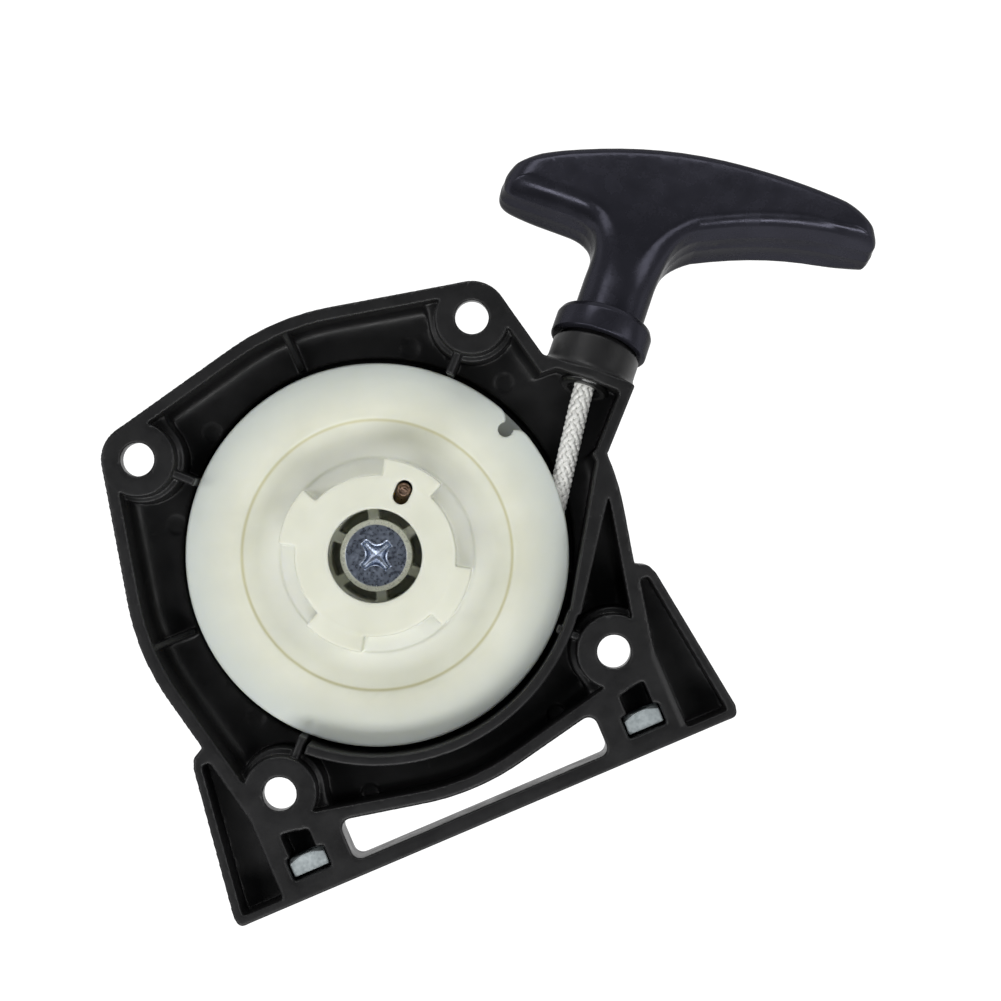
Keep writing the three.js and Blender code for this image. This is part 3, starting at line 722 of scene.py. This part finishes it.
def foot_nut(name, x):
    """A square nut standing in its pocket, with one domed face and its thread."""
    half = NUT_SIDE / 2
    body = Field((-4.5, -4.5, -2.5), (4.5, 4.5, 2.5), 0.1)
    square = [(-half, -half), (half, -half), (half, half), (-half, half)]
    blank = prism(softened(square, 0.3), -NUT_THICK / 2, NUT_THICK / 2, 0.15)
    dome = turned([(-9, -3), (6.2, -3), (6.2, 0.3), (3.5, NUT_THICK / 2), (-9, NUT_THICK / 2)])
    body.add(blank.within(dome), 0.1)
    for k in range(6):
        z = -1.75 + 0.7 * k
        body.cut(turned([(-9, z - 0.35), (1.75, z - 0.35), (2.1, z), (1.75, z + 0.35),
                         (-9, z + 0.35)]), 0.1)
    place = Matrix.Translation((x, NUT[1], NUT[2])) @ Matrix.Rotation(-math.pi / 2, 4, "X")
    return body.mesh(name, 0.01, place)


def rolled_pin():
    """The spring's inner end, rolled up tight, that leans in the reel's slot."""
    body = Field((-3.4, -2, 4), (2.4, 2, 36.6), 0.1)
    body.add(disc(1.3, 5, 33, (-0.4, 0), 0.3), 0.2)
    lean = Matrix.Translation((0.25, 0, 36.2)) @ Matrix.Rotation(math.radians(33), 4, "Y")
    body.add(disc(1.42, -4.6, 0, edge=0.5).placed(lean), 0.3)
    body.cut(disc(0.95, -0.18, 1, edge=0.05).placed(lean), 0.1)
    body.add(disc(0.72, -2, 0.0, edge=0.2).placed(lean), 0.1)
    body.cut(prism([(-0.12, -0.7), (0.12, -0.7), (0.12, 0.2), (-0.12, 0.2)], -0.5, 1).placed(lean),
             0.1)
    return body.mesh("rolled_pin", 0.003, Matrix.Translation((*polar(13.9, SPRING_SLOT_ANGLE), 0))
                     @ Matrix.Rotation(math.radians(SPRING_SLOT_ANGLE), 4, "Z"))


def spring_strip():
    """The flat spiral spring, wound from the pin outwards to the case."""
    turns, per_turn = 6, 64
    points, faces = [], []
    for i in range(turns * per_turn + 1):
        along = i / (turns * per_turn)
        radius = 15.8 + 14.7 * along ** 0.62
        angle = SPRING_SLOT_ANGLE + 360 * turns * along
        for offset, z in ((-0.3, 4.3), (-0.2, 4.2), (0.2, 4.2), (0.3, 4.3),
                          (0.3, 14.1), (0.2, 14.2), (-0.2, 14.2), (-0.3, 14.1)):
            points.append((*polar(radius + offset, angle), z))
    for i in range(turns * per_turn):
        for k in range(8):
            row, following = 8 * i, (k + 1) % 8
            faces.append((row + k, row + following, row + 8 + following, row + 8 + k))
    last = 8 * turns * per_turn
    faces += [tuple(range(8)), tuple(reversed(range(last, last + 8)))]
    return mesh_object("spring_strip", points, faces)


def rope_route():
    """Centre line of the rope from the reel to the eyelet."""
    leave = Vector((*polar(*ROPE_LEAVE), ROPE_Z))
    mouth = guide @ Vector((-2.4, 0, 0))
    route = []
    for t in (0, 0.2, 0.4, 0.6, 0.8, 0.92):
        point = leave.lerp(mouth, t)
        point.z = ROPE_Z + (mouth.z - ROPE_Z) * t ** 4
        route.append(point)
    return route + [guide @ Vector((a, 0, 0)) for a in (-0.8, 1, 3)]


def wound_rope():
    """The rope's turns on the reel, each lying on the one before."""
    turns, per_turn = 5, 72
    path = []
    for i in range(turns * per_turn + 1):
        along = i / (turns * per_turn)
        radius = 19.65 + (COIL_R - ROPE_R - 19.65) * along
        sway = 0.25 * math.sin(9 * along)
        path.append((*polar(radius, ANCHOR_ANGLE + 360 * turns * along), ROPE_Z + sway))
    return tube("rope_wound", path, ROPE_R, 14)


def drawn_rope():
    """The rope in the stem. Its rings lie so that they are evenly spaced when it is drawn out."""
    (first, last), count = STEM_ROPE, 420
    drawn = last - first + PULL
    fine = np.linspace(0, 1, 4001)
    reach = (last - first) * fine + PULL * fine ** 2 * (3 - 2 * fine)
    shares = np.interp(np.linspace(0, drawn, count), reach, fine)
    path = [guide @ Vector((first + (last - first) * t, 0, 0)) for t in shares]
    return tube("rope_drawn", path, ROPE_R, 16, along=list(np.linspace(0, drawn, count)))


def knot(name, size, matrix):
    """An overhand knot in the rope, pulled up small."""
    path = []
    for k in range(121):
        t = 2 * math.pi * k / 120
        path.append((size * 0.30 * (math.sin(t) + 2 * math.sin(2 * t)),
                     size * 0.30 * (math.cos(t) - 2 * math.cos(2 * t)),
                     -size * 0.42 * math.sin(3 * t)))
    return tube(name, path, size * 0.36, 12, matrix)


# ---------- materials ----------

class Look:
    """A node material whose patterns are laid over the part in metres."""

    def __init__(self, name, roughness, **sockets):
        self.material = bpy.data.materials.new(name)
        self.material.use_nodes = True
        self.tree = self.material.node_tree
        self.shader = self.tree.nodes["Principled BSDF"]
        self.shader.inputs["Roughness"].default_value = roughness
        for socket, value in sockets.items():
            self.shader.inputs[socket.replace("_", " ")].default_value = value
        self.place = self.node("ShaderNodeTexCoord").outputs["Object"]

    def node(self, kind, **inputs):
        """A node with its inputs linked or set, by socket name or as i0, i1 and so on."""
        made = self.tree.nodes.new(kind)
        for socket, value in inputs.items():
            target = made.inputs[int(socket[1:])] if socket[0] == "i" and socket[1:].isdigit() \
                else made.inputs[socket.replace("_", " ")]
            if isinstance(value, bpy.types.NodeSocket):
                self.tree.links.new(value, target)
            else:
                target.default_value = value
        return made

    def noise(self, grain, detail):
        """Noise whose features are about grain millimetres across."""
        made = self.node("ShaderNodeTexNoise", Vector=self.place, Scale=1 / (grain * MM),
                         Detail=detail)
        return made.outputs["Fac"]

    def math(self, operation, *values):
        """Arithmetic on sockets and numbers."""
        made = self.node("ShaderNodeMath", **{f"i{i}": v for i, v in enumerate(values)})
        made.operation = operation
        return made.outputs[0]

    def radius(self):
        """Distance from the part's Z axis in millimetres."""
        split = self.node("ShaderNodeSeparateXYZ", Vector=self.place)
        squares = [self.math("POWER", split.outputs[i], 2.0) for i in (0, 1)]
        return self.math("MULTIPLY", self.math("SQRT", self.math("ADD", *squares)), 1000.0)

    def ramp(self, value, *stops):
        """A colour from a value, by (position, colour) stops."""
        made = self.node("ShaderNodeValToRGB", Fac=value)
        elements = made.color_ramp.elements
        while len(elements) < len(stops):
            elements.new(0.5)
        for element, (position, colour) in zip(elements, stops):
            element.position = position
            element.color = (*colour, 1)
        return made.outputs["Color"]

    def between(self, value, low, high, from_low=0.3, from_high=0.7):
        """A value carried from one range to another, and held at its ends."""
        made = self.node("ShaderNodeMapRange", Value=value, From_Min=from_low, From_Max=from_high,
                         To_Min=low, To_Max=high)
        return made.outputs[0]

    def blend(self, share, one, other):
        """One colour turning into another as share goes from 0 to 1."""
        made = self.node("ShaderNodeMix")
        made.data_type = "RGBA"
        for socket, value in zip(("Factor", "A", "B"), (share, one, other)):
            target = next(s for s in made.inputs if s.name == socket and s.enabled)
            if isinstance(value, bpy.types.NodeSocket):
                self.tree.links.new(value, target)
            else:
                target.default_value = (*value, 1) if isinstance(value, tuple) else value
        return next(s for s in made.outputs if s.enabled)

    def set(self, socket, value):
        """Links a value to the shader."""
        self.tree.links.new(value, self.shader.inputs[socket])

    def bump(self, *layers):
        """Surface relief from (height, depth in millimetres) layers."""
        normal = None
        for height, depth in layers:
            made = self.node("ShaderNodeBump", Height=height, Distance=depth * MM)
            if normal:
                self.tree.links.new(normal, made.inputs["Normal"])
            normal = made.outputs["Normal"]
        self.set("Normal", normal)


def moulded_black(name, dark, light, roughness, ior, **sockets):
    """Black nylon: faint flow marks, fine moulding texture and uneven sheen."""
    look = Look(name, roughness, IOR=ior, **sockets)
    flow = look.noise(9, 4)
    look.set("Base Color", look.ramp(flow, (0.3, dark), (0.7, light)))
    sheen = look.math("ADD", look.noise(4, 5), look.math("MULTIPLY", look.noise(0.6, 2), 0.3))
    look.set("Roughness", look.between(sheen, roughness - 0.06, roughness + 0.07, 0.45, 0.85))
    look.bump((look.noise(0.28, 2), 0.012), (look.noise(5, 2), 0.05))
    return look.material


def reel_nylon():
    """Natural nylon: cream and slightly translucent, warmer in its grooves."""
    look = Look("reel_nylon_look", 0.42, Subsurface_Weight=0.35, Subsurface_Scale=0.0035,
                Subsurface_Radius=(1.0, 0.92, 0.62), IOR=1.5)
    radius = look.radius()
    body = look.ramp(look.noise(12, 3), (0.35, (0.66, 0.67, 0.56)), (0.65, (0.72, 0.73, 0.625)))
    # the flange thins towards its rim and lets the dark behind it through
    rim = look.between(radius, 0.0, 1.0, 28.5, 36.5)
    body = look.blend(rim, body, (0.56, 0.60, 0.56))
    # light gathers in the low ring round the hub
    height = look.node("ShaderNodeSeparateXYZ", Vector=look.place).outputs[2]
    low = look.math("MULTIPLY", look.between(height, 1.0, 0.0, 0.0275, 0.03),
                    look.between(radius, 1.0, 0.0, 18.5, 23.5))
    body = look.blend(low, body, (0.84, 0.85, 0.76))
    line = look.math("SUBTRACT", 1.0, look.math("MULTIPLY", look.math(
        "ABSOLUTE", look.math("SUBTRACT", radius, LINE_R)), 2.2))
    body = look.blend(look.between(line, 0.0, 0.75, 0.0, 1.0), body, (0.55, 0.52, 0.29))
    look.set("Base Color", body)
    look.set("Roughness", look.between(look.noise(2.5, 4), 0.34, 0.5))
    look.bump((look.noise(0.3, 2), 0.006), (look.noise(6, 2), 0.06))
    return look.material


def plated(name, dark, light, roughness, spangle=0.9, metallic=1.0, painted_reflection_from=None):
    """Zinc or phosphated steel: crystals of slightly different tone and gloss."""
    look = Look(name, roughness, Metallic=metallic)
    cells = look.node("ShaderNodeTexVoronoi", Vector=look.place, Scale=1 / (spangle * MM))
    tone = look.math("ADD", look.math("MULTIPLY", cells.outputs["Color"], 0.22),
                     look.math("MULTIPLY", look.noise(0.6, 5), 0.85))
    colour = look.ramp(tone, (0.3, dark), (0.8, light))
    if painted_reflection_from:
        # the head's turned edge is bare steel; its pale cream colour, with less metal, is a painted
        # reflection of the cream reel round it
        edge = look.between(look.radius(), 0.0, 1.0, painted_reflection_from - 0.1, painted_reflection_from + 0.1)
        colour = look.blend(edge, colour, (0.62, 0.63, 0.56))
        look.set("Metallic", look.between(edge, 1.0, 0.3, 0.0, 1.0))
    look.set("Base Color", colour)
    look.set("Roughness", look.between(tone, roughness - 0.08, roughness + 0.14, 0.3, 0.8))
    look.bump((look.noise(0.35, 3), 0.008), (cells.outputs["Distance"], 0.004))
    return look.material


def braid(name):
    """White polyester rope: a woven relief laid out by the rope's own length, with painted shade
    between the strands.
    """
    look = Look(name, 0.75, Sheen_Weight=0.25)
    uv = look.node("ShaderNodeTexCoord").outputs["UV"]
    split = look.node("ShaderNodeSeparateXYZ", Vector=uv)
    turns = look.math("MULTIPLY", split.outputs[1], 1000.0 / BRAID_PITCH)
    waves = []
    for way in ("ADD", "SUBTRACT"):
        phase = look.math("MULTIPLY", look.math(way, split.outputs[0], turns),
                          2 * math.pi * BRAID_STRANDS)
        waves.append(look.math("COSINE", phase))
    weave = look.math("MAXIMUM", *waves)
    # painted shade: the white rope is coloured darker in the gaps between the strands, where the
    # weave dips
    look.set("Base Color", look.ramp(weave, (0.1, (0.42, 0.42, 0.38)), (0.8, (0.80, 0.80, 0.77))))
    look.bump((weave, 0.16), (look.noise(0.2, 2), 0.03))
    return look.material


def yarn(name):
    """White polyester yarn, fine filaments along each strand."""
    look = Look(name, 0.62, Sheen_Weight=0.3)
    look.set("Base Color", look.ramp(look.noise(0.35, 4), (0.3, (0.74, 0.74, 0.70)),
                                     (0.65, (0.92, 0.92, 0.89))))
    look.bump((look.noise(0.16, 3), 0.05))
    return look.material


def paint(piece, material):
    """Gives a mesh one material."""
    piece.data.materials.clear()
    piece.data.materials.append(material)


# ---------- studio ----------

CAMERA_HEIGHT = 500.0         # above the engine face
FIELD = 192.55                # width of the view at the engine face
FLOOR_HALF = 6000.0
FLOOR_Z = -300.0              # below the grip when it is drawn out along its tilted guide


def camera():
    """Looks straight down on the engine side, turned as the part lies."""
    data = bpy.data.cameras.new("camera")
    data.sensor_width = 36
    data.lens = data.sensor_width * CAMERA_HEIGHT / FIELD
    data.clip_start = 0.01
    seat = bpy.data.objects.new("camera", data)
    seat.location = (0.02627, 0.00036, (DEPTH + CAMERA_HEIGHT) * MM)
    seat.rotation_euler = (0, 0, math.radians(-23.05))
    bpy.context.scene.collection.objects.link(seat)
    bpy.context.scene.camera = seat


def softbox(name, place, size, watts):
    """A large area light aimed at the part."""
    data = bpy.data.lights.new(name, "AREA")
    data.shape = "RECTANGLE"
    data.size, data.size_y = size
    data.energy = watts
    lamp = bpy.data.objects.new(name, data)
    lamp.location = place
    aim = Vector((0.03, 0, 0.01)) - Vector(place)
    lamp.rotation_euler = aim.to_track_quat("-Z", "Y").to_euler()
    bpy.context.scene.collection.objects.link(lamp)


def studio():
    """A pale light table, four softboxes round the part, and a ceiling darker than the walls."""
    scene = bpy.context.scene
    scene.view_settings.view_transform = "Standard"
    corners = [(x * FLOOR_HALF, y * FLOOR_HALF, FLOOR_Z)
               for x, y in ((-1, -1), (1, -1), (1, 1), (-1, 1))]
    floor = mesh_object("floor", corners, [(0, 1, 2, 3)], smooth=False)
    look = Look("floor_look", 0.9, Emission_Color=(1, 1, 1, 1), Emission_Strength=0.97)
    look.set("Base Color", look.ramp(look.noise(60, 2), (0.3, (0.17, 0.17, 0.17)),
                                     (0.7, (0.19, 0.19, 0.19))))
    paint(floor, look.material)
    softbox("box_near", (-0.23, -0.59, 0.74), (0.9, 0.22), 5.8)
    softbox("box_left", (-0.66, 0.26, 0.72), (0.35, 0.8), 3.0)
    softbox("box_right", (0.70, -0.25, 0.72), (0.35, 0.8), 3.0)
    softbox("box_far", (0.30, 0.80, 0.48), (0.9, 0.3), 3.2)
    world = bpy.data.worlds.new("studio_world")
    scene.world = world
    world.use_nodes = True
    tree = world.node_tree
    where = tree.nodes.new("ShaderNodeTexCoord")
    split = tree.nodes.new("ShaderNodeSeparateXYZ")
    ramp = tree.nodes.new("ShaderNodeValToRGB")
    tree.links.new(where.outputs["Generated"], split.inputs[0])
    tree.links.new(split.outputs[2], ramp.inputs["Fac"])
    tree.links.new(ramp.outputs["Color"], tree.nodes["Background"].inputs["Color"])
    for element, (position, colour) in zip(ramp.color_ramp.elements, (
            (0.1, (0.40, 0.40, 0.41, 1)), (0.95, (0.04, 0.042, 0.046, 1)))):
        element.position = position
        element.color = colour


# ---------- assembly ----------

def fit(piece, body, material, *nodes, slot=None):
    """Paints a piece, lets it ride on its body and hides the CAD nodes it stands for."""
    paint(piece, material)
    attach(piece, body)
    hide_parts(*nodes)
    return piece


camera()
studio()

black = moulded_black("black_nylon_look", (0.0075, 0.0075, 0.0078), (0.0112, 0.0112, 0.0117),
                      0.40, 1.36)
grip_black = moulded_black("grip_look", (0.030, 0.030, 0.039), (0.037, 0.037, 0.048), 0.25, 1.25,
                           Metallic=0.62, Specular_Tint=(0.15, 0.15, 0.15, 1))
eyelet_black = moulded_black("eyelet_look", (0.006, 0.006, 0.006), (0.009, 0.009, 0.009), 0.18, 1.5)
cream = reel_nylon()
zinc = plated("zinc_look", (0.26, 0.31, 0.42), (0.50, 0.55, 0.66), 0.27, 0.5)
# the screw head's pale turned edge is a painted reflection of the cream reel
screw_zinc = plated("screw_look", (0.30, 0.345, 0.44), (0.38, 0.43, 0.53), 0.28, 0.9,
                    painted_reflection_from=5.95)
nut_zinc = plated("nut_look", (0.34, 0.385, 0.395), (0.46, 0.505, 0.515), 0.42, 1.6, 0.5)
brass = plated("brass_look", (0.50, 0.36, 0.14), (0.72, 0.55, 0.26), 0.33)
steel = plated("case_look", (0.30, 0.31, 0.32), (0.46, 0.47, 0.49), 0.36, 2.5)
brown_steel = plated("spring_look", (0.13, 0.085, 0.06), (0.28, 0.19, 0.14), 0.30, 0.8)
rope_white = braid("rope_look")
yarn_white = yarn("yarn_look")

fit(housing(), "housing", black, "housing", slot="black_nylon")
fit(reel(), "reel", cream, "reel", slot="reel_nylon")
fit(grip(), "grip", grip_black, "grip", slot="grip_black")
fit(screw(), "housing", screw_zinc, "reel_screw", slot="zinc_steel")
fit(foot_nut("nut_right", NUT[0]), "housing", nut_zinc, "foot_nut_right", slot="zinc_steel")
fit(foot_nut("nut_left", -NUT[0]), "housing", nut_zinc, "foot_nut_left", slot="zinc_steel")
fit(rolled_pin(), "reel", brown_steel, "spring_pin", slot="spring_steel")
fit(spring_strip(), "reel", brown_steel, "recoil_spring", slot="spring_steel")

fit(lathe("insert_sleeve", [(3.2, 12.5), (3.95, 12.5), (3.95, 26.7), (3.2, 26.7)]),
    "housing", brass, "post_insert", slot="brass")
fit(lathe("thrust_washer", [(3.3, 27.3), (6.8, 27.3), (6.8, 28.3), (3.3, 28.3)]),
    "housing", zinc, "reel_washer", slot="zinc_steel")
fit(lathe("spring_cup", [(13.4, 3.1), (31.9, 3.1), (31.9, 15.6), (31.3, 15.6), (31.3, 3.7),
                         (13.4, 3.7)], corner=0.25), "housing", steel, "spring_case",
    slot="case_steel")
fit(lathe("eyelet", [
    (EYELET_BORE_R, -1.5), (EYELET_BORE_R + 0.8, -2.3), (4.5, -2.3), (5, -1.8), (5, -1.2),
    (EYELET_BARREL_R, -1.2), (EYELET_BARREL_R, 7), (EYELET_BORE_R, 7)], guide_z, corner=0.4),
    "housing", eyelet_black, "rope_eyelet", slot="eyelet_black")
fit(lathe("collar", [
    (STEM_R + 0.35, 13.2), (STEM_R + 0.35, 9.9), (NECK_R + 0.35, 9.6),
    (NECK_R + 0.35, COLLAR_START), (COLLAR_R, COLLAR_START), (COLLAR_R, 11.6),
    (COLLAR_R - 0.5, 12.7), (COLLAR_R - 1.6, 13.2)],
    guide_z, corner=0.5), "grip", grip_black, "grip_collar", slot="grip_black")
fit(lathe("rope_washer", [(2.15, 37.7), (4.9, 37.7), (4.9, 38.5), (2.15, 38.5)], guide_z),
    "grip", zinc, "knot_washer", slot="zinc_steel")
fit(lathe("cap", [(0, 46.3), (4.9, 46.3), (4.9, 46.8), (4.4, 47.1), (0, 47.1)], guide_z),
    "grip", grip_black, "grip_cap", slot="grip_black")

fit(braided("rope_taut", smooth_path(rope_route(), 0.3), ROPE_R), "housing", yarn_white,
    "rope_run", slot="rope_white")
fit(wound_rope(), "reel", rope_white, "rope_coil", slot="rope_white")
fit(knot("rope_knot_reel", 2.5, Matrix.Translation((*polar(14.4, ANCHOR_ANGLE), 21.8))), "reel",
    rope_white, "reel_knot", slot="rope_white")
fit(knot("rope_knot_grip", 3.9, guide @ Matrix.Translation((42.6, 0, 0))
         @ Matrix.Rotation(math.pi / 2, 4, "Y")), "rope_end", rope_white, "grip_knot",
    slot="rope_white")

drawn = drawn_rope()
paint(drawn, rope_white)
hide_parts("rope_tail")
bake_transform(drawn)
